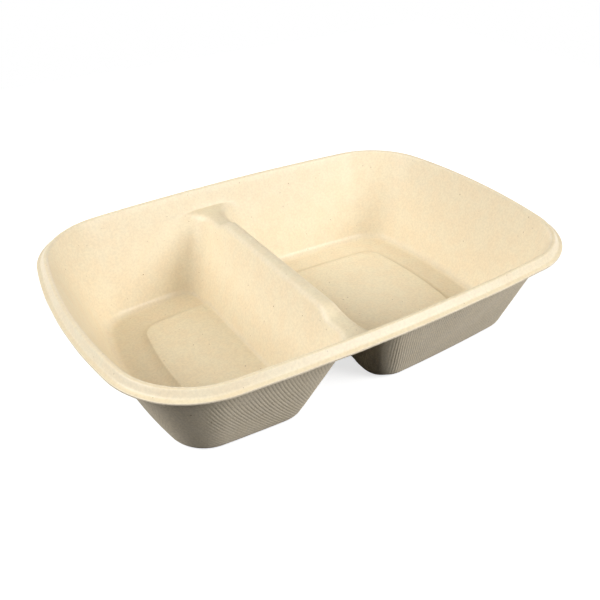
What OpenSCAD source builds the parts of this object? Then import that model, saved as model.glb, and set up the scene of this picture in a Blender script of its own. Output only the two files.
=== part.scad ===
// Meal box pressed in one piece from moulded plant fibre, with two compartments.
// The box stands on z = 0 with its middle on the z axis. Its length runs along x,
// with the smaller compartment on the -x side, and the divider runs along y.
// The whole box is one sheet of even thickness. Every wall leans outwards, so the
// sheet is described by one height over each point of the plan, once for its upper
// face and once for its lower face, and rings of points follow the walls.

/* [Outline] */
// Length over the trimmed flange
tray_l = 228; // [190:1:270]
// Width over the trimmed flange
tray_w = 161.2; // [140:0.2:190]
// Height from the table to the top of the rim's bead
tray_h = 48.6; // [40:0.2:54]
// Corner radius of the flange
corner_r = 39.4; // [36:0.2:48]
// Radius of the bow in each long side
long_bow_r = 892; // [500:1:3000]
// Radius of the bow in each short side
short_bow_r = 246; // [180:1:1000]

/* [Sheet] */
// Thickness of the moulded sheet
sheet_t = 0.9; // [0.7:0.05:1.2]
// Angle by which every wall leans from the vertical
wall_draft = 20.8; // [15:0.1:24]

/* [Rim] */
// Width of the flat lip outside the bead
lip_w = 2.1; // [1.2:0.1:2.6]
// Angle at which the lip falls towards its trimmed edge
lip_angle = 16; // [0:1:25]
// Height of the bead above the lip's trimmed edge
bead_rise = 3.2; // [2.2:0.1:4]
// Angle of the bead's outer slope from the horizontal
bead_angle = 58; // [45:1:65]
// Clear width under the top of the bead
bead_gap = 0.5; // [0.4:0.1:2]
// Radius along both shoulders of the bead
bead_r = 0.8; // [0.4:0.1:0.9]
// Radius of the groove between lip and bead
groove_r = 0.4; // [0.2:0.1:0.8]

/* [Floor] */
// Radius between wall and floor, inside
foot_r = 4.6; // [3:0.1:8]
// Width of the low ring between the wall and the raised panel
ring_w = 17.7; // [12:0.1:22]
// Height of the raised panel above the ring
panel_rise = 1.8; // [0.8:0.1:3]
// Corner radius of the raised panel
panel_r = 8; // [4:0.5:14]
// Width of the slope up to the raised panel
riser_w = 2.6; // [1.5:0.1:5]

/* [Divider] */
// Place of the divider's middle along the length
divider_x = -15.5; // [-30:0.5:0]
// Width across the top of the divider
crest_w = 6.5; // [4:0.1:10]
// Depth of the divider's top below the bead
crest_drop = 7.5; // [5:0.1:14]
// Depth of the low land at each end of the divider below its top
land_drop = 2.1; // [0.5:0.1:4]
// Length of the low land, from the long wall to the ramp
land_l = 21.4; // [18:0.1:30]
// Length of the ramp between the land and the top
ramp_l = 4.2; // [2:0.1:8]
// Radius along both edges of the divider's top
crest_r = 2; // [1:0.1:3]
// Radius between the land and the long wall
land_r = 1.8; // [0.8:0.1:3]
// Radius of each compartment's corners beside the divider, at the floor
pocket_r = 10.8; // [8:0.1:12]
// Growth of that radius for each millimetre of height
pocket_growth = 0.1; // [0:0.01:0.12]

/* [Hidden] */

half_l = tray_l / 2;
half_w = tray_w / 2;
lean = tan(wall_draft);
wall_angle = 90 - wall_draft;
// How far a wall moves sideways for each millimetre of sheet, measured at floor level
wall_shift = 1 / cos(wall_draft) - lean;
// How far the slope up to the panel moves outwards for each millimetre of sheet
panel_shift = tan(atan2(panel_rise, riser_w) / 2);
// Smallest radius that the sheet's lower face keeps under an edge
sharp_r = 0.2;
bead_slope = tan(bead_angle);
lip_slope = tan(lip_angle);
// Inset of the bead's outer shoulder and of the wall's inner face, both at the bead's height
shoulder_inset = lip_w + (bead_rise - lip_slope * lip_w) / bead_slope;
rim_w = shoulder_inset + bead_gap + sheet_t * (tan(bead_angle / 2) + tan(wall_angle / 2));
floor_inset = rim_w + lean * (tray_h - sheet_t);
panel_inset = floor_inset + ring_w;
crest_h = tray_h - crest_drop;
land_h = crest_h - land_drop;
land_inset = rim_w + lean * (tray_h - land_h);
land_start = half_w - land_inset - land_l;
divider_foot = crest_w / 2 + lean * (crest_h - sheet_t);
// How much further out the divider's edges lie beside the lands
spread = lean * land_drop;
// Radius of the corners beside the divider at the height of the lands, and how far from the
// divider's middle line they reach
pocket_top_r = pocket_r + pocket_growth * (land_h - sheet_t);
pocket_reach = crest_w / 2 + spread + pocket_top_r;

// Segments of each stretch of a ring: long side, corner, short side, and half of a corner
// beside the divider
n_long = 4;
n_corner = 10;
n_short = 6;
n_half = 5;
// Inset at which the rim's rings end and each compartment's own rings begin
join_inset = land_inset + (land_r + sheet_t / 10) * tan(wall_angle / 2);

// Middle of the arc that rounds a corner, with its end angles on the short and the long side
function corner_arc(a, b, r, big_l, big_s) =
    let (p = [0, b - big_l], q = [a - big_s, 0], dp = big_l - r, dq = big_s - r,
         gap = norm(q - p), along = (dp * dp - dq * dq + gap * gap) / (2 * gap),
         off = sqrt(dp * dp - along * along), u = (q - p) / gap,
         c = p + u * along + [u.y, -u.x] * off)
    [c, atan2(c.y, c.x - q.x), atan2(c.y - p.y, c.x)];

outline = corner_arc(half_l, half_w, corner_r, long_bow_r, short_bow_r);

// Distances of a point from the bowed long side and the bowed short side
function from_long(x, y) = long_bow_r - norm([x, abs(y) + long_bow_r - half_w]);
function from_short(x, y) = short_bow_r - norm([abs(x) + short_bow_r - half_l, y]);

// Distance of a point from the flange's edge
function inset(x, y) =
    let (v = [abs(x), abs(y)] - outline[0], turn = atan2(v.y, v.x))
    (turn > outline[1] && turn < outline[2]) ? corner_r - norm(v)
                                             : min(from_long(x, y), from_short(x, y));

// Distance inside two sides that meet in a corner of radius r
function rounded(a, b, r) =
    abs(a - b) >= r ? min(a, b)
                    : (a + b) / 2 - r + sqrt(2 * r * r - (a - b) * (a - b)) / 2;

// Height over a plane, where a slope of the given angle that stands w above it meets it
// in a hollow of radius r
function hollow(w, angle, r) =
    let (t = r * tan(angle / 2), u = w / tan(angle))
    u <= -t ? 0 : u >= t * cos(angle) ? w : r - sqrt(r * r - (u + t) * (u + t));

// A gentle step from 0 to 1
function step(u) = u <= 0 ? 0 : u >= 1 ? 1 : u * u * (3 - 2 * u);

// Radius of an outer edge once the sheet's thickness e is taken off
function edge_r(r, e) = max(r - e, sharp_r);

// Height of the divider's top along the width
function crest(y) = land_h + land_drop * step((land_start - abs(y)) / ramp_l);

// Height of the rim over the inset o, on the face that lies e under the upper one
function rim(o, e) =
    let (lip = tray_h - bead_rise - e + lip_slope * o,
         top = tray_h - e,
         slope = tray_h + bead_slope * (o - shoulder_inset) - e / cos(bead_angle),
         bead = top - hollow(top - slope, bead_angle, edge_r(bead_r, e)))
    lip + hollow(bead - lip, bead_angle, groove_r + e);

// Height of the face that lies e under the sheet's upper face, e being 0 or the thickness.
// a and b are the distances inside the foot of the outer wall and of the divider, and d is
// the distance inside both, with the corner between them rounded.
function height(x, y, e) =
    let (shift = e * wall_shift,
         ground = sheet_t - e,
         a = inset(x, y) - floor_inset + shift,
         b = abs(x - divider_x) - divider_foot + shift,
         up = max(-min(a, b), 0) / lean,
         d = rounded(a, b, pocket_r + pocket_growth * up + e),
         walls = ground - d / lean,
         outer_wall = ground - a / lean,
         top = crest(y) - e,
         divided = top - hollow(top - walls, wall_angle, edge_r(crest_r, e)),
         end_r = min(land_r + e, (walls - outer_wall) / 3),
         joined = divided + hollow(outer_wall - divided, wall_angle, end_r),
         p = rounded(from_long(x, y) - panel_inset, from_short(x, y) - panel_inset, panel_r),
         low = ground + panel_rise * step((p + panel_shift * e) / riser_w + 1),
         dish = low + hollow(joined - low, wall_angle, foot_r + e),
         rim_top = tray_h - e)
    min(rim_top - hollow(rim_top - dish, wall_angle, edge_r(bead_r, e)), rim(inset(x, y), e));

// Points of the bowed sides at the inset o: the long side by x, the short one by its angle
function on_long(x, o) =
    half_w - long_bow_r + sqrt((long_bow_r - o) * (long_bow_r - o) - x * x);
function on_short(turn, o) =
    [half_l - short_bow_r, 0] + (short_bow_r - o) * [cos(turn), sin(turn)];

// The outer side of one compartment at the inset o, from x0 on the near long side round to
// x0 on the far one. arc describes the corners, and r is their radius at this inset.
function outer_run(x0, o, arc, r) =
    let (x1 = arc[0].x + r * cos(arc[2]))
    [for (i = [0 : n_long - 1]) let (x = x0 + (x1 - x0) * i / n_long) [x, -on_long(x, o)],
     for (i = [0 : n_corner - 1])
         let (turn = (arc[2] - arc[1]) * i / n_corner - arc[2])
         [arc[0].x + r * cos(turn), -arc[0].y + r * sin(turn)],
     for (i = [0 : n_short - 1]) on_short(arc[1] * (2 * i / n_short - 1), o),
     for (i = [0 : n_corner - 1])
         let (turn = arc[1] + (arc[2] - arc[1]) * i / n_corner)
         arc[0] + r * [cos(turn), sin(turn)],
     for (i = [0 : n_long]) let (x = x1 + (x0 - x1) * i / n_long) [x, on_long(x, o)]];

// The far corner beside the divider, from the long side to the line at x. It is an arc of
// radius r that touches the inset arc_o, cut off where it would pass the inset o.
function pocket(x, o, arc_o, r) =
    [for (i = [1 : 2 * n_half])
        let (turn = 90 + 45 * i / n_half, px = x + r + r * cos(turn))
        [px, min(on_long(x + r, arc_o) - r + r * sin(turn), on_long(px, o))]];

// One closed ring of the compartment on the +x side of the line at x. stops are the points
// along the divider, each with its distance from that line and its place along y.
function ring(x, o, arc_o, r, stops, arc, arc_r) =
    let (x_end = x + stops[0].x, far = pocket(x_end, o, arc_o, r))
    concat(outer_run(x_end + r, o, arc, arc_r), far,
           [for (p = stops) [x + p.x, p.y]],
           [for (i = [2 * n_half - 1 : -1 : 0]) [far[i].x, -far[i].y]]);

// Stops along the divider: at its ramps on the top (u = 0), at the ends of the panel's slope
// on the foot (u = 1), or inside the round corner there, and between them on the faces
function stops(u) =
    let (foot = half_w - floor_inset - max(ring_w - riser_w, pocket_r + 2 * tip_r),
         y = land_start + (foot - land_start) * u,
         run = ramp_l + (riser_w - ramp_l) * u,
         out = spread * (1 - u),
         half = [[out, y], [out / 2, y - run / 2], [0, y - run], [0, (y - run) / 3]])
    concat(half, [for (i = [3 : -1 : 0]) [half[i].x, -half[i].y]]);

// Rings on the bead's outer and inner shoulder, and on the hollow where the lands end, each
// counted from the edge or crease in lengths of its tangent
outer_steps = [-cos(bead_angle), 0, 1];
inner_steps = [-1, -0.1, cos(wall_angle)];
end_steps = [-cos(wall_angle), 0, 0.5];
// Rings on the rounded edge of the divider's top, down its face, and on the curve at its foot
edge_steps = [-1, -0.45, -0.1, cos(wall_angle)];
face_steps = [0.25, 0.6, 1];
foot_steps = [-0.05, 0.45, 1];
// Rings on the slope up to the raised panel, from its foot to its top
panel_steps = [1, 0.66, 0.33, -0.05];
// Distance between neighbouring rings on the long wall beside the lands, and on the panel
// beside the divider, where each ring's corner has a radius of its own
ring_gap = 0.4;
panel_gap = 0.7;
tip_r = 1;

// Insets of the rim's rings on the face at e: lip, groove, bead, wall and lands' ends
function rim_insets(e) =
    let (half_bead = tan(bead_angle / 2),
         half_wall = tan(wall_angle / 2),
         groove = lip_w + e * half_bead,
         t_groove = (groove_r + e) * half_bead,
         shoulder_r = edge_r(bead_r, e))
    concat([0, groove - t_groove, groove + t_groove * cos(bead_angle)],
           (shoulder_inset + e * half_bead) * [1, 1, 1] + shoulder_r * half_bead * outer_steps,
           (rim_w - e * half_wall) * [1, 1, 1] + shoulder_r * half_wall * inner_steps,
           (land_inset - e * half_wall) * [1, 1, 1] + (land_r + e) * half_wall * end_steps,
           [join_inset]);

// Rings from the divider's top down to the floor. Each has the inset of its outer side, its
// distance from the divider's middle line, the inset that its corner arcs touch, their
// radius, and how far down the divider's face its stops lie.
function dish_rings(e) =
    let (half_wall = tan(wall_angle / 2),
         t_edge = edge_r(crest_r, e) * half_wall,
         t_foot = (foot_r + e) * half_wall,
         edge = crest_w / 2 - e * half_wall,
         land = land_inset - e * half_wall,
         top_r = pocket_top_r + e,
         low_r = pocket_r + e,
         top = join_inset + ring_gap * len(edge_steps),
         wall_end = floor_inset - e * wall_shift,
         face_end = divider_foot - e * wall_shift - panel_rise * lean,
         wall = wall_end - t_foot * cos(wall_angle) - top,
         face = face_end - t_foot * cos(wall_angle) - edge)
    concat([for (i = [0 : len(edge_steps) - 1])
               let (q = t_edge * edge_steps[i])
               [join_inset + ring_gap * (i + 1), edge + q, land + q, top_r - q, 0]],
           [for (u = face_steps)
               let (o = top + wall * u)
               [o, edge + face * u, o, top_r + (low_r - top_r) * u, u]],
           [for (u = foot_steps)
               let (o = wall_end + t_foot * u)
               [o, face_end + t_foot * u, o, low_r - t_foot * u, 1]]);

// All points of one compartment in plan, except its first ring, which the rim has too
function dish_points(s, e) =
    let (x = s * divider_x, rings = dish_rings(e), last = rings[len(rings) - 1][1], low = stops(1))
    concat([for (k = rings)
               each ring(x + k[1], k[0], k[2], k[3], stops(k[4]), outline, corner_r - k[0])],
           [for (i = [0 : len(panel_steps) - 1])
               let (o = panel_inset - panel_shift * e - riser_w * panel_steps[i],
                    xr = x + last + panel_gap * (i + 1),
                    squeeze = (on_long(xr, o) - 2 * tip_r) / low[0].y)
               each ring(xr, o, o, tip_r, [for (p = low) [0, p.y * squeeze]],
                         corner_arc(half_l - o, half_w - o, panel_r, long_bow_r - o, short_bow_r - o),
                         panel_r)]);

// The rim's ring on one side of the divider, from its near end round to its far end
function rim_run(s, o) =
    let (x0 = s * divider_x,
         fine = [for (i = [0 : n_half - 1])
                    let (x = x0 + pocket_reach * i / n_half) [x, -on_long(x, o)]])
    concat(fine, outer_run(x0 + pocket_reach, o, outline, corner_r - o),
           [for (i = [n_half - 1 : -1 : 0]) [fine[i].x, -fine[i].y]]);

// The rim's ring round the whole box: the large compartment first, then the small one back
function rim_loop(o) =
    let (large = rim_run(1, o), small = rim_run(-1, o), n = len(large))
    concat([for (i = [0 : n - 2]) large[i]],
           [for (i = [n - 1 : -1 : 1]) [-small[i].x, small[i].y]]);

// The middle line of the divider's top, from the far end to the near one
middle_line =
    let (y = on_long(divider_x, join_inset),
         far = [for (i = [1 : n_half]) [divider_x, y + (land_start - y) * i / (n_half + 1)]])
    concat(far, [for (p = stops(0)) [divider_x, p.y]],
           [for (i = [n_half - 1 : -1 : 0]) [divider_x, -far[i].y]]);

// Counts of points and rings, from which the index of each point follows
n_outer = 2 * n_long + 2 * n_corner + n_short + 1;
n_loop = 2 * (n_outer + 2 * n_half - 1);
n_middle = len(middle_line);
n_ring = n_outer + 2 * n_half + n_middle;
n_rim = len(rim_insets(0));
n_dish = 1 + len(dish_rings(0)) + len(panel_steps);
n_face = n_rim * n_loop + n_middle + 2 * (n_dish - 1) * n_ring;

// All points of one face of the sheet
function face_points(e) =
    let (plan = concat([for (o = rim_insets(e)) each rim_loop(o)], middle_line,
                       dish_points(1, e),
                       [for (p = dish_points(-1, e)) [-p.x, p.y]]))
    [for (p = plan) [p.x, p.y, height(p.x, p.y, e)]];

// Index of point j of ring k. A compartment's ring 0 is made of the rim's last ring and the
// middle line of the divider.
function at_rim(k, j) = k * n_loop + j % n_loop;
function at_run(s, i) = at_rim(n_rim - 1, s > 0 ? i : n_loop - i);
function at_dish(s, k, j) =
    let (i = j % n_ring, side = n_outer + n_half)
    k > 0 ? n_rim * n_loop + n_middle + ((s > 0 ? 0 : n_dish - 1) + k - 1) * n_ring + i
    : i < side ? at_run(s, n_half + i)
    : i < side + n_middle ? n_rim * n_loop + i - side
    : at_run(s, i - side - n_middle);

// Two triangles of a patch with its corners in order, and the patch between two neighbouring
// rings of a compartment
function patch(a, b, c, d) = [[a, b, c], [a, c, d]];
function dish_patch(s, k, j) =
    let (a = at_dish(s, k, j), b = at_dish(s, k, j + 1),
         c = at_dish(s, k + 1, j + 1), d = at_dish(s, k + 1, j))
    s > 0 ? patch(a, b, c, d) : patch(b, a, d, c);

// Triangles of one face, in order seen from above, and the flat top of each raised panel
face_triangles = concat(
    [for (k = [0 : n_rim - 2], j = [0 : n_loop - 1])
        each patch(at_rim(k, j), at_rim(k, j + 1), at_rim(k + 1, j + 1), at_rim(k + 1, j))],
    [for (s = [1, -1], k = [0 : n_dish - 2], j = [0 : n_ring - 1]) each dish_patch(s, k, j)],
    [[for (j = [0 : n_ring - 1]) at_dish(1, n_dish - 1, j)],
     [for (j = [n_ring - 1 : -1 : 0]) at_dish(-1, n_dish - 1, j)]]);

// The trimmed edge between both faces
edge_triangles =
    [for (j = [0 : n_loop - 1])
        let (a = at_rim(0, j), b = at_rim(0, j + 1))
        each patch(a, b, b + n_face, a + n_face)];

module food_tray() {
    color("wheat") polyhedron(
        points = concat(face_points(0), face_points(sheet_t)),
        faces = concat([for (f = face_triangles) [for (i = [len(f) - 1 : -1 : 0]) f[i]]],
                       [for (f = face_triangles) [for (i = f) i + n_face]],
                       edge_triangles),
        convexity = 6);
}

food_tray();
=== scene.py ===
"""Meal box of moulded plant fibre with two compartments, on a pale floor.

The box is one pressed sheet. Its skin grows from the flange's edge: loops of vertices are
extruded inwards over the rim and down the walls, once for the inner face and once for the
outer one, and both skins are bridged at the trimmed edge.
"""

import logging
import math
from dataclasses import dataclass, field, replace
from enum import Enum
from functools import cached_property

import bmesh
import bpy
from mathutils import Matrix, Quaternion, Vector, noise


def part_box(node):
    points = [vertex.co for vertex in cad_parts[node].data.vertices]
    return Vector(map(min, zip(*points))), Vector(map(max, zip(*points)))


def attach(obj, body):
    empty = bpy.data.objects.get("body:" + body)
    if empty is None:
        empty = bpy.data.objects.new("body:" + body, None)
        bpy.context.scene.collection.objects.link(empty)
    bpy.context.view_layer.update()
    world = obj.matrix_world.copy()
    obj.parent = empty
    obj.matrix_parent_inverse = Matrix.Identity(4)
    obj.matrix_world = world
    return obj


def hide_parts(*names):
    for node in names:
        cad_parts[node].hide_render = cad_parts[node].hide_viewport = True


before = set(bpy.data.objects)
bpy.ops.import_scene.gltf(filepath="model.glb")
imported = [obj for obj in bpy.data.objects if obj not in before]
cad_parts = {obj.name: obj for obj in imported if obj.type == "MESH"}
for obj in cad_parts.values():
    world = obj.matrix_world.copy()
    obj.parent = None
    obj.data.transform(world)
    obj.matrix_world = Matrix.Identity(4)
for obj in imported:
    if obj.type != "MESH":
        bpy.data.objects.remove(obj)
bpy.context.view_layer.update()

NODE = "food_tray"
BODY = "root"
MM = 0.001
LAYER_GAP = 17.3

logging.basicConfig(level=logging.INFO, format="%(name)s: %(message)s")
log = logging.getLogger("meal_box")

Place = tuple[float, float]
Limits = tuple[float, float]
Colour = tuple[float, float, float]
PaintedBand = tuple[float, float, Colour]
Series = tuple[float, ...]
Vert = bmesh.types.BMVert
Mesh = bmesh.types.BMesh
Socket = bpy.types.NodeSocket


class Face(Enum):
    """The two faces of the pressed sheet."""

    INSIDE = 0
    OUTSIDE = 1


class Compartment(Enum):
    """The two compartments, by the side of the divider on which they lie."""

    LARGE = 1
    SMALL = -1


def smooth_step(u: float) -> float:
    """A gentle step from 0 to 1."""
    u = min(max(u, 0.0), 1.0)
    return u * u * (3 - 2 * u)


def hollow(rise: float, angle: float, radius: float) -> float:
    """Height over a plane where a slope meets it in a round hollow.

    Args:
        rise: Height of the plain slope over the plane, negative beyond their crease.
        angle: Angle between slope and plane, in radians.
        radius: Radius of the hollow.

    Returns:
        The height of the rounded surface over the plane.
    """
    tangent = radius * math.tan(angle / 2)
    run = rise / math.tan(angle)
    if run <= -tangent:
        return 0.0
    if run >= tangent * math.cos(angle):
        return rise
    return radius - math.sqrt(max(radius * radius - (run + tangent) ** 2, 0.0))


def rounded(a: float, b: float, radius: float) -> float:
    """Distance inside two sides that meet in a round corner.

    Args:
        a: Distance from the first side.
        b: Distance from the second side.
        radius: Radius of the corner.

    Returns:
        The distance inside the rounded outline.
    """
    gap = a - b
    if abs(gap) >= radius:
        return min(a, b)
    return (a + b) / 2 - radius + math.sqrt(2 * radius * radius - gap * gap) / 2


def riser(u: float, edge: float = 0.06) -> float:
    """Height of a riser: a wide hollow that ends in a crisp edge.

    Args:
        u: Share of the way up the riser.
        edge: Half the width of the edge's round, as a share of the riser's width.

    Returns:
        The share of the riser's height.
    """
    if u >= 1 + edge:
        return 1.0
    if u > 1 - edge:
        return 1 - (2 - edge) / (4 * edge) * (1 + edge - u) ** 2
    return max(u, 0.0) ** 2


def bend_steps(radius: float, angle: float, count: int) -> list[float]:
    """Places across a rounded edge in count segments, from its crease towards the slope."""
    tangent = radius * math.tan(angle / 2)
    return [radius * math.sin(angle * i / count) - tangent for i in range(count + 1)]


def between(start: float, end: float, count: int) -> list[float]:
    """Count values spaced evenly between two ends, which are left out."""
    return [start + (end - start) * i / (count + 1) for i in range(1, count + 1)]


def show(name: str, data: bpy.types.ID) -> bpy.types.Object:
    """Adds an object to the scene.

    Args:
        name: The object's name.
        data: Its mesh, lamp or camera.

    Returns:
        The object.
    """
    thing = bpy.data.objects.new(name, data)
    bpy.context.scene.collection.objects.link(thing)
    return thing


def show_mesh(name: str, mesh: Mesh) -> bpy.types.Object:
    """Adds a finished mesh to the scene.

    Args:
        name: Name of the object and of its mesh.
        mesh: The mesh, which is freed.

    Returns:
        The object.
    """
    data = bpy.data.meshes.new(name)
    mesh.to_mesh(data)
    mesh.free()
    return show(name, data)


@dataclass
class Corner:
    """The arc that joins a long side to a short side, by its centre, radius and turns."""

    x: float
    y: float
    radius: float
    start: float
    end: float

    @classmethod
    def joining(cls, half_l: float, half_w: float, radius: float,
                long_r: float, short_r: float) -> "Corner":
        """Fits the arc between two bowed sides.

        Args:
            half_l: Half the length, to the middle of the short side.
            half_w: Half the width, to the middle of the long side.
            radius: Radius of the corner.
            long_r: Radius of the long side's bow.
            short_r: Radius of the short side's bow.

        Returns:
            The corner in the +x, +y quarter.
        """
        long_y, short_x = half_w - long_r, half_l - short_r
        long_d, short_d = long_r - radius, short_r - radius
        gap = math.hypot(short_x, long_y)
        along = (long_d ** 2 - short_d ** 2 + gap ** 2) / (2 * gap)
        off = math.sqrt(long_d ** 2 - along ** 2)
        ux, uy = short_x / gap, -long_y / gap
        x, y = ux * along + uy * off, long_y + uy * along - ux * off
        return cls(x, y, radius, math.atan2(y, x - short_x), math.atan2(y - long_y, x))

    def at(self, turn: float) -> Place:
        """The place at an angle on the arc."""
        return self.x + self.radius * math.cos(turn), self.y + self.radius * math.sin(turn)


@dataclass
class Outline:
    """Plan of the flange: bowed sides joined by round corners, in millimetres."""

    half_l: float
    half_w: float
    corner_r: float = 39.4
    long_bow_r: float = 892.0
    short_bow_r: float = 246.0
    long_count: int = 16
    corner_count: int = 28
    short_count: int = 22

    def __post_init__(self) -> None:
        """Fits the corner once."""
        self.corner = self.fit_corner(0.0, self.corner_r)

    def from_long(self, x: float, y: float) -> float:
        """Distance of a place from the nearer long side."""
        return self.long_bow_r - math.hypot(x, abs(y) + self.long_bow_r - self.half_w)

    def from_short(self, x: float, y: float) -> float:
        """Distance of a place from the nearer short side."""
        return self.short_bow_r - math.hypot(abs(x) + self.short_bow_r - self.half_l, y)

    def inset(self, x: float, y: float) -> float:
        """Distance of a place from the flange's edge.

        Args:
            x: Place along the length.
            y: Place along the width.

        Returns:
            The distance, negative outside the flange.
        """
        corner = self.corner
        turn = math.atan2(abs(y) - corner.y, abs(x) - corner.x)
        if corner.start < turn < corner.end:
            return self.corner_r - math.hypot(abs(x) - corner.x, abs(y) - corner.y)
        return min(self.from_long(x, y), self.from_short(x, y))

    def on_long(self, x: float, inset: float) -> float:
        """How far out the long side lies at x, moved in by an inset."""
        return self.half_w - self.long_bow_r + math.sqrt((self.long_bow_r - inset) ** 2 - x * x)

    def inner_corner(self, inset: float) -> Corner:
        """The outline's corner, moved in by an inset."""
        return replace(self.corner, radius=self.corner_r - inset)

    def fit_corner(self, inset: float, radius: float) -> Corner:
        """A corner with a radius of its own between the sides moved in by an inset."""
        return Corner.joining(self.half_l - inset, self.half_w - inset, radius,
                              self.long_bow_r - inset, self.short_bow_r - inset)

    def run(self, x0: float, inset: float, corner: Corner) -> list[Place]:
        """Outer side of one compartment, from the near long side round to the far one.

        Args:
            x0: Where the run begins and ends on the long sides.
            inset: Inset of the sides from the flange's edge.
            corner: The corner at this inset.

        Returns:
            The places of the run in order.
        """
        x1 = corner.at(corner.end)[0]
        xs = [x0 + (x1 - x0) * (i / self.long_count) for i in range(self.long_count)]
        turns = [corner.end + (corner.start - corner.end) * i / self.corner_count
                 for i in range(self.corner_count)]
        half = [(x, self.on_long(x, inset)) for x in xs] + [corner.at(turn) for turn in turns]
        reach, centre = self.short_bow_r - inset, self.half_l - self.short_bow_r
        for i in range(self.short_count // 2):
            turn = corner.start * (1 - 2 * i / self.short_count)
            half.append((centre + reach * math.cos(turn), reach * math.sin(turn)))
        return [(x, -y) for x, y in half] + [(centre + reach, 0.0)] + half[::-1]


@dataclass
class Rim:
    """Section of the flange: a sloping lip, a groove and a round bead, in millimetres."""

    top: float
    lip_w: float = 1.8
    lip_slope: float = math.tan(math.radians(16))
    bead_rise: float = 3.2
    bead_angle: float = math.radians(56)
    bead_gap: float = 0.634
    outer_r: float = 1.0
    inner_r: float = 1.7
    groove_r: float = 0.9
    lip_count: int = 2
    groove_count: int = 7
    slope_count: int = 1
    outer_count: int = 5
    inner_count: int = 7

    @property
    def shoulder(self) -> float:
        """Inset of the bead's outer shoulder."""
        rise = self.bead_rise - self.lip_slope * self.lip_w
        return self.lip_w + rise / math.tan(self.bead_angle)

    def wall_inset(self, sheet: float, wall_angle: float) -> float:
        """Inset of the wall's inner face at the height of the bead."""
        halves = math.tan(self.bead_angle / 2) + math.tan(wall_angle / 2)
        return self.shoulder + self.bead_gap + sheet * halves

    def height(self, inset: float, depth: float, outer_r: float) -> float:
        """Height of the rim's section, from its edge to the top of its bead.

        Args:
            inset: Distance from the flange's edge.
            depth: Depth of this face below the inner one.
            outer_r: Radius of the bead's outer shoulder on this face.

        Returns:
            The height above the table.
        """
        lip = self.top - self.bead_rise - depth + self.lip_slope * inset
        top = self.top - depth
        slope = self.top + math.tan(self.bead_angle) * (inset - self.shoulder)
        slope -= depth / math.cos(self.bead_angle)
        bead = top - hollow(top - slope, self.bead_angle, outer_r)
        return lip + hollow(bead - lip, self.bead_angle, self.groove_r + depth)


@dataclass
class Divider:
    """The hollow wall between the compartments, with a low land at each end, in millimetres."""

    x: float = -15.5
    crest_w: float = 6.5
    crest_drop: float = 6.8
    crest_r: float = 4.4
    land_drop: float = 2.8
    land_l: float = 20.6
    inner_land_r: float = 0.9
    outer_land_r: float = 2.7
    ramp_l: float = 9.5
    pocket_r: float = 10.8
    pocket_growth: float = 0.1
    land_fade: float = 3.0
    half_count: int = 14
    ramp_count: int = 10
    span_count: int = 9
    crest_count: int = 10
    land_count: int = 6


@dataclass
class Dish:
    """Floor of a compartment: a low ring round a raised panel, in millimetres."""

    inner_foot_r: float = 5.2
    divider_foot_r: float = 2.4
    foot_change: float = 9.0
    outer_foot_r: float = 5.5
    ring_w: float = 17.7
    panel_rise: float = 1.8
    panel_r: float = 7.0
    riser_w: float = 4.8
    face_gap: float = 0.35
    tip_r: float = 0.8
    foot_count: int = 8
    ring_count: int = 3
    riser_steps: Series = (0.0, 0.2, 0.4, 0.58, 0.74, 0.87, 0.94, 0.98, 1.02, 1.06, 1.16)
    panel_steps: Series = (0.12, 0.3, 0.5, 0.7)


@dataclass
class Unevenness:
    """Small departures of the pressed sheet from its mould, in millimetres, above its foot."""

    from_foot: float = 0.5
    warp: float = 0.16
    warp_length: float = 46.0
    ripple: float = 0.05
    ripple_length: float = 9.0
    trim: float = 0.22
    trim_length: float = 15.0
    trim_reach: float = 2.0
    pucker: float = 0.2
    pucker_length: float = 3.2
    pucker_reach: float = 7.0

    @staticmethod
    def wave(place: Vector, length: float, layer: float) -> float:
        """Smooth noise between about -1 and 1 with the given wavelength."""
        return noise.noise(place / length + Vector((0.0, 0.0, layer * LAYER_GAP)))

    def lift(self, x: float, y: float, z: float) -> float:
        """How far the sheet stands above its mould at a place."""
        place = Vector((x, y, z))
        return (self.warp * self.wave(place, self.warp_length, 1)
                + self.ripple * self.wave(place, self.ripple_length, 2))

    def shift(self, x: float, y: float, inset: float) -> float:
        """How far the trimmed edge lies outside the ideal outline."""
        fade = 1 - smooth_step(inset / self.trim_reach)
        return fade * self.trim * self.wave(Vector((x, y, 0.0)), self.trim_length, 3)


@dataclass
class Skin:
    """One face of the sheet while it grows inwards, loop by loop."""

    mesh: Mesh
    loop: list[Vert]

    def grow(self, places: list[Vector]) -> None:
        """Extrudes the inner loop and moves the new one to its places.

        Args:
            places: One place for each vertex of the loop.
        """
        loop = self.loop
        edges = [self.mesh.edges.get(pair) for pair in zip(loop, loop[1:] + loop[:1])]
        made = bmesh.ops.extrude_edge_only(self.mesh, edges=edges)["geom"]
        fresh = {part for part in made if isinstance(part, Vert)}
        inner = []
        for vert, place in zip(loop, places):
            twin = next(edge.other_vert(vert) for edge in vert.link_edges
                        if edge.other_vert(vert) in fresh)
            twin.co = place
            inner.append(twin)
        self.loop = inner


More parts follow.
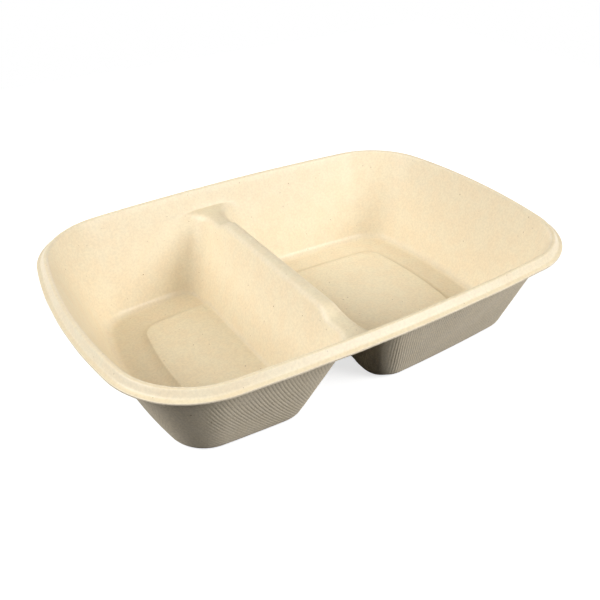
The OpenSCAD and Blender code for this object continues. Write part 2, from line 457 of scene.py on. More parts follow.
@dataclass
class MealBox:
    """The pressed box with its rim, divider and floors, in millimetres."""

    low: Vector
    high: Vector
    sheet: float = 0.9
    draft: float = math.radians(20.8)
    sharp_r: float = 0.14
    edge_bevel: float = 0.16
    wall_rows: int = 7
    end_rows: int = 2
    row_step: float = 0.2
    divider: Divider = field(default_factory=Divider)
    dish: Dish = field(default_factory=Dish)
    uneven: Unevenness = field(default_factory=Unevenness)

    def __post_init__(self) -> None:
        """Works out the sizes that follow from the frame's box and the driving sizes."""
        size = (self.high - self.low) / MM
        self.outline = Outline(size.x / 2, size.y / 2)
        self.rim = Rim(size.z)
        self.lean = math.tan(self.draft)
        self.wall_angle = math.pi / 2 - self.draft
        self.half_wall = math.tan(self.wall_angle / 2)
        self.wall_shift = 1 / math.cos(self.draft) - self.lean
        self.rim_w = self.rim.wall_inset(self.sheet, self.wall_angle)
        self.floor_inset = self.rim_w + self.lean * (self.rim.top - self.sheet)
        self.panel_inset = self.floor_inset + self.dish.ring_w
        self.panel_shift = math.tan(math.atan2(self.dish.panel_rise, self.dish.riser_w) / 2)
        divider = self.divider
        self.crest_h = self.rim.top - divider.crest_drop
        self.land_h = self.crest_h - divider.land_drop
        self.land_inset = self.rim_w + self.lean * (self.rim.top - self.land_h)
        self.land_start = self.outline.half_w - self.land_inset - divider.land_l
        self.divider_foot = divider.crest_w / 2 + self.lean * (self.crest_h - self.sheet)
        self.spread = self.lean * divider.land_drop
        self.pocket_top_r = divider.pocket_r + divider.pocket_growth * (self.land_h - self.sheet)
        self.pocket_reach = divider.crest_w / 2 + self.spread + self.pocket_top_r
        self.join_inset = self.land_inset + divider.outer_land_r * self.half_wall

    def edge_r(self, radius: float, depth: float) -> float:
        """Radius of an outer edge once part of the sheet is taken off."""
        return max(radius - depth, self.sharp_r)

    def face_r(self, inner_r: float, outer_r: float, depth: float) -> float:
        """Radius of a hollow on one face, from its radii on the inner and the outer face."""
        return inner_r + (outer_r - inner_r) * depth / self.sheet

    def land_r(self, depth: float) -> float:
        """Radius where the divider's lands meet the box's walls."""
        return self.face_r(self.divider.inner_land_r, self.divider.outer_land_r, depth)

    def foot_r(self, depth: float) -> float:
        """Radius where the walls of a compartment meet its floor."""
        return self.face_r(self.dish.inner_foot_r, self.dish.outer_foot_r, depth)

    def crest(self, y: float) -> float:
        """Height of the divider's top along the width."""
        ramp = smooth_step((self.land_start - abs(y)) / self.divider.ramp_l)
        return self.land_h + self.divider.land_drop * ramp

    def height(self, x: float, y: float, depth: float) -> float:
        """Height of one face of the sheet over the table.

        Args:
            x: Place along the length.
            y: Place along the width.
            depth: Depth of this face below the inner one.

        Returns:
            The height before the sheet's unevenness.
        """
        divider, dish, outline = self.divider, self.dish, self.outline
        shift, ground = depth * self.wall_shift, self.sheet - depth
        inset = outline.inset(x, y)
        a = inset - self.floor_inset + shift
        b = abs(x - divider.x) - self.divider_foot + shift
        up = max(-min(a, b), 0.0) / self.lean
        pocket_r = divider.pocket_r + divider.pocket_growth * up + depth
        walls = ground - rounded(a, b, pocket_r) / self.lean
        outer_wall = ground - a / self.lean
        top = self.crest(y) - depth
        divided = top - hollow(top - walls, self.wall_angle, self.edge_r(divider.crest_r, depth))
        end_r = min(self.land_r(depth), (walls - outer_wall) / divider.land_fade)
        joined = divided + hollow(outer_wall - divided, self.wall_angle, max(end_r, 0.0))
        from_panel = rounded(outline.from_long(x, y) - self.panel_inset,
                             outline.from_short(x, y) - self.panel_inset, dish.panel_r)
        climb = (from_panel + self.panel_shift * depth) / dish.riser_w + 1
        floor = ground + dish.panel_rise * riser(climb)
        by_divider = smooth_step((a - b) / dish.foot_change + 0.5)
        divider_r = dish.divider_foot_r + depth
        foot_r = self.foot_r(depth) * (1 - by_divider) + divider_r * by_divider
        inner = floor + hollow(joined - floor, self.wall_angle, foot_r)
        rim_top = self.rim.top - depth
        inner_r, outer_r = (self.edge_r(r, depth) for r in (self.rim.inner_r, self.rim.outer_r))
        wall = rim_top - hollow(rim_top - inner, self.wall_angle, inner_r)
        return min(wall, self.rim.height(inset, depth, outer_r))

    def pucker(self, x: float, y: float, z: float) -> float:
        """Little creases that the fibre keeps where the divider's top drops to its lands.

        Args:
            x: Place along the length.
            y: Place along the width.
            z: Height of the inner face.

        Returns:
            How far the sheet stands above its mould there.
        """
        uneven = self.uneven
        away = math.hypot(x - self.divider.x, abs(y) - self.land_start) / uneven.pucker_reach
        if away >= 1 or z < self.land_h - uneven.pucker_reach:
            return 0.0
        wave = uneven.wave(Vector((x, y, z)), uneven.pucker_length, 4)
        return uneven.pucker * (1 - smooth_step(away)) * wave

    def settle(self, places: list[Place], depth: float) -> list[Vector]:
        """Lifts places of the plan onto a face of the real, slightly uneven sheet.

        Args:
            places: Places in the plan.
            depth: Depth of this face below the inner one.

        Returns:
            The points of the face, in millimetres.
        """
        points = []
        for x, y in places:
            z = self.height(x, y, depth)
            above = smooth_step((z + depth) / self.dish.outer_foot_r - self.uneven.from_foot)
            lift = above * (self.uneven.lift(x, y, z + depth) + self.pucker(x, y, z + depth))
            out = self.uneven.shift(x, y, self.outline.inset(x, y))
            reach = math.hypot(x, y)
            points.append(Vector((x * (1 + out / reach), y * (1 + out / reach), z + lift)))
        return points

    def pocket(self, x: float, inset: float, touch: float, radius: float) -> list[Place]:
        """Far corner beside the divider, from the long side to the divider's line.

        Args:
            x: The line beside the divider.
            inset: Inset past which the corner doesn't reach.
            touch: Inset that the corner's arc touches.
            radius: Radius of the arc.

        Returns:
            The places of the corner in order.
        """
        outline, count = self.outline, 2 * self.divider.half_count
        places = []
        for i in range(1, count + 1):
            turn = math.pi / 2 * (1 + i / count)
            px = x + radius * (1 + math.cos(turn))
            py = outline.on_long(x + radius, touch) + radius * (math.sin(turn) - 1)
            places.append((px, min(py, outline.on_long(px, inset))))
        return places

    def ring(self, x: float, inset: float, touch: float, radius: float, stops: list[Place],
             corner: Corner) -> list[Place]:
        """One closed loop of the compartment on the +x side of a line.

        Args:
            x: The line beside the divider.
            inset: Inset of the outer side.
            touch: Inset that the corners beside the divider touch.
            radius: Radius of those corners.
            stops: Places along the divider, by distance from the line and place in y.
            corner: The outer side's corner.

        Returns:
            The places of the loop in order.
        """
        end = x + stops[0][0]
        far = self.pocket(end, inset, touch, radius)
        return (self.outline.run(end + radius, inset, corner) + far
                + [(x + out, y) for out, y in stops] + [(px, -py) for px, py in reversed(far)])

    def stops(self, down: float) -> list[Place]:
        """Stops along the divider.

        Args:
            down: 0 on the divider's top, 1 at its foot.

        Returns:
            The distance from the ring's line and the place in y of each stop.
        """
        divider, dish = self.divider, self.dish
        foot = self.outline.half_w - self.panel_inset + dish.riser_w
        first = self.land_start + (foot - self.land_start) * down
        run = divider.ramp_l + (dish.riser_w - divider.ramp_l) * down
        half = []
        for i in range(divider.ramp_count + 1):
            u = i / divider.ramp_count
            half.append((self.spread * (1 - down) * (1 - smooth_step(u)), first - run * u))
        last = first - run
        half += [(0.0, last * (1 - i / (divider.span_count + 0.5)))
                 for i in range(1, divider.span_count + 1)]
        return half + [(out, -y) for out, y in reversed(half)]

    def rim_insets(self, depth: float) -> list[float]:
        """Insets of the rim's loops on one face.

        Args:
            depth: Depth of this face below the inner one.

        Returns:
            The insets from the trimmed edge to the divider's end.
        """
        rim, wall_angle = self.rim, self.wall_angle
        half_bead = math.tan(rim.bead_angle / 2)
        groove = rim.lip_w + depth * half_bead
        skew = 1 - rim.lip_slope / math.tan(rim.bead_angle)
        groove_bend = bend_steps(rim.groove_r + depth, rim.bead_angle, rim.groove_count)
        groove_at = [groove + q / skew for q in groove_bend]
        outer_r, inner_r = (self.edge_r(radius, depth) for radius in (rim.outer_r, rim.inner_r))
        shoulder = rim.shoulder + depth * half_bead
        outer = [shoulder - q for q in bend_steps(outer_r, rim.bead_angle, rim.outer_count)[::-1]]
        crease = self.rim_w - depth * self.half_wall
        inner = [crease + q for q in bend_steps(inner_r, wall_angle, rim.inner_count)]
        land = self.land_inset - depth * self.half_wall
        end_bend = bend_steps(self.land_r(depth), wall_angle, self.divider.land_count)
        end = [land - q for q in reversed(end_bend)]
        return (between(0.0, groove_at[0], rim.lip_count) + groove_at
                + between(groove_at[-1], outer[0], rim.slope_count) + outer + inner
                + between(inner[-1], end[0], self.end_rows) + end + [self.join_inset])

    def rim_run(self, side: Compartment, inset: float) -> list[Place]:
        """Rim loop on one side of the divider, from its near end round to its far end.

        Args:
            side: The side of the divider, which is turned towards +x.
            inset: Distance from the flange's edge.

        Returns:
            The places of the loop in order.
        """
        x0, count = side.value * self.divider.x, self.divider.half_count
        fine = [x0 + self.pocket_reach * i / count for i in range(count)]
        outline = self.outline
        run = outline.run(x0 + self.pocket_reach, inset, outline.inner_corner(inset))
        far = [(x, outline.on_long(x, inset)) for x in fine]
        return [(x, -y) for x, y in far] + run + far[::-1]

    def rim_loop(self, inset: float) -> list[Place]:
        """Rim loop round the whole box.

        Args:
            inset: Distance from the flange's edge.

        Returns:
            The places of the loop in order, round the large compartment first.
        """
        large = self.rim_run(Compartment.LARGE, inset)
        small = self.rim_run(Compartment.SMALL, inset)
        return large[:-1] + [(-x, y) for x, y in reversed(small[1:])]

    def dish_rings(self, side: Compartment, depth: float) -> list[list[Place]]:
        """Loops of one compartment from the divider's top to the middle of its panel.

        Args:
            side: The compartment.
            depth: Depth of this face below the inner one.

        Returns:
            The loops from the outermost one inwards.
        """
        divider, dish, outline = self.divider, self.dish, self.outline
        x = side.value * divider.x
        edge = divider.crest_w / 2 - depth * self.half_wall
        land = self.land_inset - depth * self.half_wall
        top_r, low_r = self.pocket_top_r + depth, divider.pocket_r + depth
        edge_bend = bend_steps(self.edge_r(divider.crest_r, depth), self.wall_angle,
                               divider.crest_count)
        loops = []
        for i, q in enumerate(edge_bend, 1):
            inset = self.join_inset + self.row_step * i
            loops.append(self.ring(x + edge + q, inset, land + q, top_r - q, self.stops(0.0),
                                   outline.inner_corner(inset)))
        top = self.join_inset + self.row_step * len(edge_bend)
        wall_end = self.floor_inset - depth * self.wall_shift
        face_end = self.divider_foot - depth * self.wall_shift - dish.panel_rise * self.lean
        bend = bend_steps(self.foot_r(depth), self.wall_angle, dish.foot_count)
        foot_bend = [-q for q in reversed(bend)]
        for i in range(1, self.wall_rows):
            u = i / self.wall_rows
            inset = top + (wall_end + foot_bend[0] - top) * u
            across = edge + edge_bend[-1] + (face_end + foot_bend[0] - edge - edge_bend[-1]) * u
            loops.append(self.ring(x + across, inset, inset, top_r + (low_r - top_r) * u,
                                   self.stops(u), outline.inner_corner(inset)))
        for q in foot_bend:
            inset = wall_end + q
            loops.append(self.ring(x + face_end + q, inset, inset, low_r - q, self.stops(1.0),
                                   outline.inner_corner(inset)))
        return loops + self.panel_rings(loops[-1], x + face_end + foot_bend[-1], depth)

    def panel_rings(self, last: list[Place], x: float, depth: float) -> list[list[Place]]:
        """Loops from the wall's foot over the low ring and up onto the raised panel.

        Args:
            last: The loop at the wall's foot.
            x: Where that loop runs beside the divider.
            depth: Depth of this face below the inner one.

        Returns:
            The loops from the low ring to the middle of the panel.
        """
        dish, outline = self.dish, self.outline
        foot = self.stops(1.0)
        slope = []
        for i, u in enumerate(dish.riser_steps):
            inset = self.panel_inset - self.panel_shift * depth + dish.riser_w * (u - 1)
            line = x + dish.face_gap * (i + 1)
            squeeze = (outline.on_long(line, inset) - 2 * dish.tip_r) / foot[0][1]
            corner = outline.fit_corner(inset, dish.panel_r)
            stops = [(0.0, y * squeeze) for _, y in foot]
            slope.append(self.ring(line, inset, inset, dish.tip_r, stops, corner))
        low = [self.blend(last, slope[0], u) for u in between(0.0, 1.0, dish.ring_count)]
        xs = [px for px, _ in slope[-1]]
        middle = [((min(xs) + max(xs)) / 2, 0.0)] * len(xs)
        return low + slope + [self.blend(slope[-1], middle, u) for u in dish.panel_steps]

    @staticmethod
    def blend(first: list[Place], second: list[Place], share: float) -> list[Place]:
        """A loop between two loops."""
        return [(ax + (bx - ax) * share, ay + (by - ay) * share)
                for (ax, ay), (bx, by) in zip(first, second)]

    def grow_face(self, mesh: Mesh, face: Face) -> list[Vert]:
        """Builds one face of the sheet, from its trimmed edge to both panels.

        Args:
            mesh: The mesh that receives the face.
            face: The inner or the outer face.

        Returns:
            The vertices along the trimmed edge.
        """
        depth = face.value * self.sheet
        rim_places = self.rim_loop(0.0)
        edge_loop = bmesh.ops.create_circle(mesh, segments=len(rim_places), radius=1.0)["verts"]
        for vert, point in zip(edge_loop, self.settle(rim_places, depth)):
            vert.co = point
        skin = Skin(mesh, edge_loop)
        for inset in self.rim_insets(depth):
            skin.grow(self.settle(self.rim_loop(inset), depth))
        spine = self.raise_spine(mesh, skin.loop, depth)
        half = len(skin.loop) // 2
        runs = {Compartment.LARGE: skin.loop[:half + 1],
                Compartment.SMALL: [skin.loop[-i] for i in range(half + 1)]}
        for side, run in runs.items():
            start = self.divider.half_count
            dish = Skin(mesh, run[start:] + spine + run[:start])
            for places in self.dish_rings(side, depth):
                dish.grow(self.settle([(side.value * x, y) for x, y in places], depth))
            mesh.faces.new(dish.loop)
        return edge_loop

    def raise_spine(self, mesh: Mesh, loop: list[Vert], depth: float) -> list[Vert]:
        """Draws the middle line of the divider's top across the box.

        Args:
            mesh: The mesh of the sheet.
            loop: The rim's innermost loop, which the line joins to itself.
            depth: Depth of this face below the inner one.

        Returns:
            The vertices of the line from the far end to the near one, without its ends.
        """
        x, count = self.divider.x, self.divider.half_count
        end = self.outline.on_long(x, self.join_inset)
        far = between(end, self.land_start, count)
        ys = far + [y for _, y in self.stops(0.0)] + [-y for y in reversed(far)]
        spine = []
        vert = loop[len(loop) // 2]
        for point in self.settle([(x, y) for y in ys], depth):
            vert = bmesh.ops.extrude_vert_indiv(mesh, verts=[vert])["verts"][0]
            vert.co = point
            spine.append(vert)
        mesh.edges.new((vert, loop[0]))
        return spine

    def build(self) -> bpy.types.Object:
        """Builds the whole box as one closed mesh in metres.

        Returns:
            The box.
        """
        mesh = bmesh.new()
        edges = []
        for face in Face:
            start = len(mesh.faces)
            loop = self.grow_face(mesh, face)
            mesh.faces.ensure_lookup_table()
            for part in mesh.faces[start:]:
                part.material_index = face.value
            edges += [mesh.edges.get(pair) for pair in zip(loop, loop[1:] + loop[:1])]
        for part in bmesh.ops.bridge_loops(mesh, edges=edges)["faces"]:
            part.material_index = Face.OUTSIDE.value
        bmesh.ops.recalc_face_normals(mesh, faces=mesh.faces)
        bmesh.ops.bevel(mesh, geom=edges, offset=self.edge_bevel, segments=2, profile=0.5,
                        affect="EDGES", material=-1)
        bmesh.ops.scale(mesh, vec=(MM, MM, MM), verts=mesh.verts)
        for part in mesh.faces:
            part.smooth = True
        return show_mesh("pressed_sheet", mesh)


@dataclass
class NodeSheet:
    """The nodes of a material or of the world, with short calls for those often used."""

    owner: bpy.types.ID

    def __post_init__(self) -> None:
        """Starts without nodes."""
        self.owner.use_nodes = True
        self.owner.node_tree.nodes.clear()

    @cached_property
    def place(self) -> Socket:
        """Object coordinates."""
        return self.add("ShaderNodeTexCoord").outputs["Object"]

    def add(self, kind: str, *inputs: object, **values: object) -> bpy.types.Node:
        """Adds a node.

        Args:
            kind: The node's type.
            *inputs: Sockets to link or values to set, in the order of the node's inputs.
            **values: Properties of the node, or inputs with spaces written as underscores.

        Returns:
            The new node.
        """
        node = self.owner.node_tree.nodes.new(kind)
        for socket, value in zip(node.inputs, inputs):
            self.feed(socket, value)
        for name, value in values.items():
            if hasattr(node, name):
                setattr(node, name, value)
            else:
                self.feed(node.inputs[name.replace("_", " ")], value)
        return node

    def feed(self, socket: Socket, value: object) -> None:
        """Links an input to a socket or sets its value.

        Args:
            socket: The input.
            value: The socket to link, or the value.
        """
        if isinstance(value, Socket):
            self.owner.node_tree.links.new(value, socket)
        else:
            socket.default_value = value

    def math(self, operation: str, first: object, second: object = 0.0) -> Socket:
        """Result of a math node on two sockets or numbers."""
        return self.add("ShaderNodeMath", first, second, operation=operation).outputs[0]

    def times(self, first: object, second: object) -> Socket:
        """Product of two sockets or numbers."""
        return self.math("MULTIPLY", first, second)

    def split(self, vector: Socket) -> bpy.types.NodeOutputs:
        """X, Y and Z of a vector."""
        return self.add("ShaderNodeSeparateXYZ", vector).outputs

    def facing(self) -> bpy.types.NodeOutputs:
        """Direction in which the surface faces."""
        return self.split(self.add("ShaderNodeNewGeometry").outputs["Normal"])

    def blend(self, share: Socket, first: Socket, second: Socket) -> Socket:
        """Blend of two values."""
        node = self.add("ShaderNodeMix", data_type="FLOAT", Factor=share, A=first, B=second)
        return node.outputs[0]

    def tone(self, colour: Socket, factor: Socket) -> Socket:
        """A colour multiplied by a value or by another colour."""
        node = self.add("ShaderNodeVectorMath", colour, factor, operation="MULTIPLY")
        return node.outputs[0]

    def ramp(self, value: Socket, low: float, high: float,
             start: float = 0.0, end: float = 1.0) -> Socket:
        """Maps a value between two limits smoothly onto another range."""
        return self.add("ShaderNodeMapRange", value, low, high, start, end,
                        interpolation_type="SMOOTHSTEP").outputs[0]

    def noise(self, length: float, detail: float = 2.0, roughness: float = 0.5) -> Socket:
        """Noise with features of a length in millimetres."""
        return self.add("ShaderNodeTexNoise", Vector=self.place, Scale=1 / (length * MM),
                        Detail=detail, Roughness=roughness).outputs["Fac"]

    def mix(self, share: Socket, first: object, second: object) -> Socket:
        """Mixes two colours.

        Args:
            share: Share of the second colour.
            first: The first colour, as a socket or as red, green and blue.
            second: The second colour, given in the same way.

        Returns:
            The mixed colour.
        """
        node = self.add("ShaderNodeMix", share, data_type="RGBA")
        for socket, value in zip(node.inputs[6:8], (first, second)):
            self.feed(socket, value if isinstance(value, Socket) else (*value, 1.0))
        return node.outputs[2]

    def seen(self) -> Socket:
        """Whether a ray comes from the camera or from a gloss or glass surface.

        Returns:
            The socket, 1 for such a ray and 0 for any other.
        """
        rays = self.add("ShaderNodeLightPath").outputs
        direct = self.math("MAXIMUM", rays["Is Camera Ray"], rays["Is Glossy Ray"])
        return self.math("MAXIMUM", direct, rays["Is Transmission Ray"])


@dataclass(frozen=True)
class ScreenRibs:
    """Ribs that the forming screen leaves on the outside, lengths in millimetres.

    On the small compartment they lean and bow, on the large one they stand nearly upright, and
    a weave crosses them. They show on sides that face one way clearly, and on the floors. Their
    grooves are pressed in by the bump and darkened in colour as painted shade.
    """

    # shade: how much the grooves' colour is darkened, as painted shade; height: depth of their bump
    shade: float
    height: float
    top: float = 43.0
    top_fade: float = 1.5
    sway: float = 0.8
    sway_length: float = 14.0
    small_pitch: float = 1.5
    small_share: float = 0.6
    small_lean: float = 0.9
    small_bow: float = -0.0065
    large_pitch: float = 1.3
    large_lean: float = 0.235
    weave_pitch: float = 1.15
    weave_share: float = 0.3
    end_lead: float = 0.2
    side_limits: Limits = (0.3, 0.7)
    floor_limits: Limits = (0.8, 0.95)
    wear_length: float = 18.0
    wear_limits: Limits = (0.3, 0.62)
    least_depth: float = 0.45
    groove_from: float = -0.6

    def add(self, sheet: NodeSheet, colour: Socket, height: Socket) -> tuple[Socket, Socket]:
        """Adds the ribs to the bare fibre.

        Args:
            sheet: The material's nodes.
            colour: Colour of the bare fibre.
            height: Height of the bare fibre.

        Returns:
            The colour socket with the ribs' painted groove shade, and the height socket with their
            bump.
        """
        parts, facing = sheet.split(sheet.place), sheet.facing()
        end, side, level = (sheet.math("ABSOLUTE", facing[axis]) for axis in "XYZ")
        lead = sheet.math("SUBTRACT", end, side)
        on_end = sheet.math("GREATER_THAN", lead, self.end_lead)
        along = sheet.blend(on_end, parts["X"], parts["Y"])
        along, above = (sheet.times(part, 1 / MM) for part in (along, parts["Z"]))
        drift = sheet.math("SUBTRACT", sheet.noise(self.sway_length, 1.0), 0.5)
        along = sheet.math("ADD", along, sheet.times(drift, self.sway))
        bow = sheet.math("ADD", sheet.times(above, self.small_bow), self.small_lean)
        small = self.groove(sheet, along, above, bow, self.small_pitch)
        large = self.groove(sheet, along, above, self.large_lean, self.large_pitch)
        depth = sheet.blend(sheet.math("GREATER_THAN", parts["X"], Divider.x * MM),
                            sheet.times(small, self.small_share), large)
        weave = self.groove(sheet, above, above, 0.0, self.weave_pitch)
        weave = sheet.math("SUBTRACT", 1.0, sheet.times(weave, self.weave_share))
        flat = sheet.ramp(sheet.math("ABSOLUTE", lead), *self.side_limits)
        flat = sheet.math("MAXIMUM", flat, sheet.ramp(level, *self.floor_limits))
        worn = sheet.ramp(sheet.noise(self.wear_length), *self.wear_limits, self.least_depth)
        below = sheet.ramp(above, self.top - self.top_fade, self.top, 1.0, 0.0)
        for share in (weave, flat, worn, below):
            depth = sheet.times(depth, share)
        # Painted shade: the grooves' colour is darkened by their depth
        shade = sheet.math("SUBTRACT", 1.0, sheet.times(depth, self.shade))
        height = sheet.math("ADD", height, sheet.times(depth, -self.height))
        return sheet.tone(colour, shade), height

    def groove(self, sheet: NodeSheet, along: Socket, above: Socket, lean: object,
               pitch: float) -> Socket:
        """Profile of leaning ribs.

        Args:
            sheet: The material's nodes.
            along: Place across upright ribs.
            above: Height over the table.
            lean: How far the ribs lean for each millimetre of height.
            pitch: Distance between two ribs.

        Returns:
            The profile, from 0 on a rib to 1 in the groove between two.
        """
        across = sheet.math("ADD", along, sheet.times(above, lean))
        wave = sheet.math("SINE", sheet.times(across, 2 * math.pi / pitch))
        return sheet.ramp(wave, self.groove_from, 1.0)


@dataclass(frozen=True)
class PlantFibre:
    """Finish of the pressed fibre, with the specks and mottle of unbleached pulp.

    Lengths are in millimetres. Level surfaces get painted light and shade by their height: the
    floors' ring and panel are painted lighter, the divider's crest and the rim's bead darker, each
    with the heights between which it begins.
    """

    name: str
    pale: Colour
    warm: Colour
    speck: Colour
    grain_height: float
    ribs: ScreenRibs | None = None
    roughness: float = 0.5
    specular: float = 0.1
    sheen: float = 0.38
    sheen_roughness: float = 0.28
    ior: float = 1.45
    mottle_length: float = 7.0
    mottle_limits: Limits = (0.35, 0.65)
    grain_tone: float = 0.05
    grain_length: float = 1.15
    grain_limits: Limits = (0.3, 0.7)
    speck_gap: float = 3.4
    bare_share: float = 0.5
    speck_size: float = 0.035
    speck_growth: float = 0.07
    speck_depth: float = 0.25
    speck_contrast: float = 0.6
    # Painted light and shade for level surfaces: how level a surface must be, then lighter tones
    # for the floor's ring and panel and darker ones for the divider's crest and the rim's bead
    painted_level_limits: Limits = (0.8, 0.985)
    ring_painted_light: Colour = (1.07, 1.06, 1.03)
    panel_painted_light: PaintedBand = (1.4, 2.5, (1.09, 1.09, 1.06))
    crest_painted_shade: PaintedBand = (10.0, 30.0, (0.90, 0.89, 0.84))
    rim_painted_shade: PaintedBand = (43.0, 45.0, (0.95, 0.93, 0.87))

    def dress(self) -> bpy.types.Material:
        """Builds the material.

        Returns:
            The material.
        """
        sheet = NodeSheet(bpy.data.materials.new(self.name))
        colour, height = self.mottle(sheet)
        if self.ribs:
            colour, height = self.ribs.add(sheet, colour, height)
        bump = sheet.add("ShaderNodeBump", Strength=1.0, Distance=MM, Height=height)
        shader = sheet.add("ShaderNodeBsdfPrincipled", colour, Roughness=self.roughness,
                           IOR=self.ior, Specular_IOR_Level=self.specular, Coat_Weight=self.sheen,
                           Coat_Roughness=self.sheen_roughness, Normal=bump.outputs[0])
        sheet.add("ShaderNodeOutputMaterial", shader.outputs[0])
        return sheet.owner

    def mottle(self, sheet: NodeSheet) -> tuple[Socket, Socket]:
        """Colour and height of the bare fibre.

        Args:
            sheet: The material's nodes.

        Returns:
            The colour socket and the height socket, the height in millimetres.
        """
        cloud = sheet.ramp(sheet.noise(self.mottle_length, 3.0), *self.mottle_limits)
        colour = self.paint_level_light_and_shade(sheet, sheet.mix(cloud, self.pale, self.warm))
        grain = sheet.noise(self.grain_length, 3.0, 0.65)
        shade = sheet.ramp(grain, *self.grain_limits, 1.0 - self.grain_tone, 1.0 + self.grain_tone)
        colour = self.add_specks(sheet, sheet.tone(colour, shade))
        return colour, sheet.times(grain, self.grain_height)

    def add_specks(self, sheet: NodeSheet, colour: Socket) -> Socket:
        """Scatters dark specks of bark, each with its own size and depth of colour.

        Args:
            sheet: The material's nodes.
            colour: Colour of the fibre without specks.

        Returns:
            The colour socket with the specks.
        """
        specks = sheet.add("ShaderNodeTexVoronoi", Vector=sheet.place, Randomness=1.0,
                           Scale=1 / (self.speck_gap * MM)).outputs
        red, green, blue = sheet.add("ShaderNodeSeparateColor", specks["Color"]).outputs
        chosen = sheet.math("GREATER_THAN", red, self.bare_share)
        size = sheet.math("ADD", sheet.times(green, self.speck_growth), self.speck_size)
        near = sheet.math("LESS_THAN", specks["Distance"], size)
        depth = sheet.math("ADD", sheet.times(blue, self.speck_contrast), self.speck_depth)
        return sheet.mix(sheet.times(sheet.times(chosen, near), depth), colour, self.speck)

    def paint_level_light_and_shade(self, sheet: NodeSheet, colour: Socket) -> Socket:
        """Paints light and shade onto the level surfaces by their height.

        Args:
            sheet: The material's nodes.
            colour: Colour of the fibre on the walls.

        Returns:
            The colour socket with the painted light and shade.
        """
        # Painted light and shade: level surfaces are lightened on the floors and darkened on the
        # crest and the bead, by height
        level = sheet.ramp(sheet.math("ABSOLUTE", sheet.facing()["Z"]), *self.painted_level_limits)
        above = sheet.split(sheet.place)["Z"]
        painted_tone = self.ring_painted_light
        for low, high, upper in (self.panel_painted_light, self.crest_painted_shade, self.rim_painted_shade):
            painted_tone = sheet.mix(sheet.ramp(above, low * MM, high * MM), painted_tone, upper)
        return sheet.tone(colour, sheet.mix(level, (1.0, 1.0, 1.0), painted_tone))


INSIDE_FINISH = PlantFibre(
    name="pressed_fibre_inside", pale=(0.80, 0.705, 0.52), warm=(0.80, 0.685, 0.495),
    speck=(0.36, 0.24, 0.13), grain_height=0.03)
# The outside's colours are the fibre's own, set lighter than the inside's as painted light that
# makes up for the dim outer walls and the ribs' painted groove shade
OUTSIDE_FINISH = PlantFibre(
    name="screened_fibre_outside", pale=(0.86, 0.755, 0.59), warm=(0.85, 0.74, 0.565),
    speck=(0.34, 0.23, 0.13), grain_height=0.08, ribs=ScreenRibs(shade=0.22, height=0.1),
    roughness=0.9, specular=0.0, sheen=0.0, grain_tone=0.10, grain_length=0.9)


def direction(azimuth: float, elevation: float) -> Vector:
    """Direction seen from the box, in degrees; azimuth 0 is towards -y and 90 towards +x."""
    a, e = math.radians(azimuth), math.radians(elevation)
    return Vector((math.sin(a) * math.cos(e), -math.cos(a) * math.cos(e), math.sin(e)))


@dataclass(frozen=True)
class SoftLight:
    """A square soft light that faces the box, in degrees, metres and watts."""

    name: str
    azimuth: float
    elevation: float
    size: float
    power: float
    distance: float = 1.2

    def hang(self) -> None:
        """Adds the light to the scene."""
        away = direction(self.azimuth, self.elevation)
        data = bpy.data.lights.new(self.name, "AREA")
        data.shape = "SQUARE"
        data.size = self.size
        data.energy = self.power
        light = show(self.name, data)
        light.location = away * self.distance
        light.rotation_euler = away.to_track_quat("Z", "Y").to_euler()


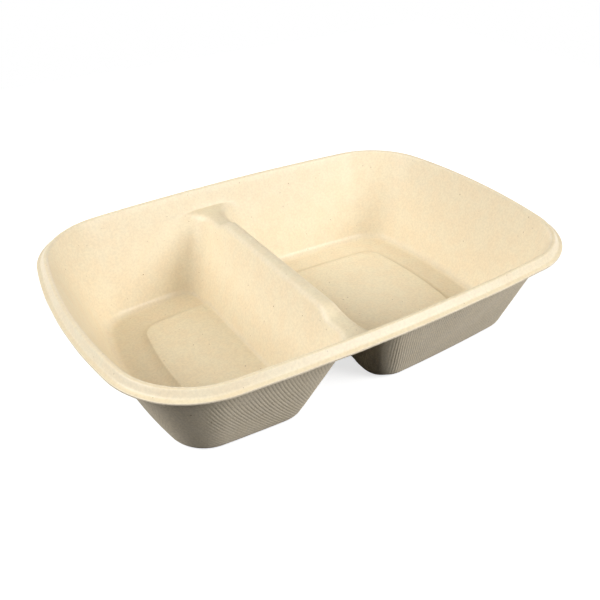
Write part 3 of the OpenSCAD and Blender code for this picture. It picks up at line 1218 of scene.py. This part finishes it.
@dataclass
class Studio:
    """Camera, lights, floor and backdrop, in metres and degrees."""

    target: tuple[float, float, float] = (-0.0267, -0.0400, 0.0454)
    azimuth: float = -31.77
    elevation: float = 33.49
    distance: float = 0.2799
    roll: float = -0.98
    lens: float = 41.45
    nearest: float = 0.01
    lights: tuple[SoftLight, ...] = (
        SoftLight("left_light", azimuth=-102, elevation=38, size=0.85, power=14.5),
        SoftLight("right_light", azimuth=32, elevation=32, size=0.6, power=13.9),
        SoftLight("back_light", azimuth=168, elevation=7, size=0.5, power=3.5))
    ambient: float = 0.02
    floor_size: float = 1.0
    floor_drop: float = 0.0001
    floor_bounce: float = 0.03
    floor_shade: float = 0.55
    floor_glow: float = 0.72

    def set_camera(self) -> None:
        """Places the camera at the angle from which the box is seen."""
        back = direction(self.azimuth, self.elevation)
        turn = back.to_track_quat("Z", "Y") @ Quaternion((0, 0, 1), math.radians(self.roll))
        data = bpy.data.cameras.new("camera")
        data.lens = self.lens
        data.clip_start = self.nearest
        camera = show("camera", data)
        place = Vector(self.target) + back * self.distance
        camera.matrix_world = Matrix.LocRotScale(place, turn, None)
        bpy.context.scene.camera = camera

    def set_world(self) -> None:
        """Surrounds the box with a dim room that the camera sees as white."""
        sheet = NodeSheet(bpy.data.worlds.new("room"))
        share = sheet.add("ShaderNodeMapRange", sheet.seen(), To_Min=self.ambient, To_Max=1.0)
        white = sheet.add("ShaderNodeBackground", (1.0, 1.0, 1.0, 1.0), share.outputs[0])
        sheet.add("ShaderNodeOutputWorld", white.outputs[0])
        bpy.context.scene.world = sheet.owner

    def lay_floor(self) -> None:
        """Lays the pale floor, which looks white and takes the box's shadow."""
        mesh = bmesh.new()
        bmesh.ops.create_grid(mesh, x_segments=1, y_segments=1, size=self.floor_size / 2)
        bmesh.ops.translate(mesh, vec=(0.0, 0.0, -self.floor_drop), verts=mesh.verts)
        floor = show_mesh("floor", mesh)
        sheet = NodeSheet(bpy.data.materials.new("pale_floor"))
        grey, white = (sheet.add("ShaderNodeBsdfDiffuse", (tone, tone, tone, 1.0)).outputs[0]
                       for tone in (self.floor_bounce, self.floor_shade))
        glow = sheet.add("ShaderNodeEmission", (1.0, 1.0, 1.0, 1.0), self.floor_glow)
        both = sheet.add("ShaderNodeAddShader", white, glow.outputs[0])
        pick = sheet.add("ShaderNodeMixShader", sheet.seen(), grey, both.outputs[0])
        sheet.add("ShaderNodeOutputMaterial", pick.outputs[0])
        floor.data.materials.append(sheet.owner)

    def build(self) -> None:
        """Sets up the whole studio."""
        self.set_camera()
        for light in self.lights:
            light.hang()
        self.set_world()
        self.lay_floor()
        bpy.context.scene.view_settings.view_transform = "Standard"


def main() -> None:
    """Builds the studio and the box."""
    Studio().build()
    low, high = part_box(NODE)
    box = MealBox(low, high).build()
    for finish in (INSIDE_FINISH, OUTSIDE_FINISH):
        box.data.materials.append(finish.dress())
    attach(box, BODY)
    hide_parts(NODE)
    log.info("%s: %d faces, rides on %s, replaces %s", box.name, len(box.data.polygons), BODY, NODE)


if __name__ == "__main__":
    main()
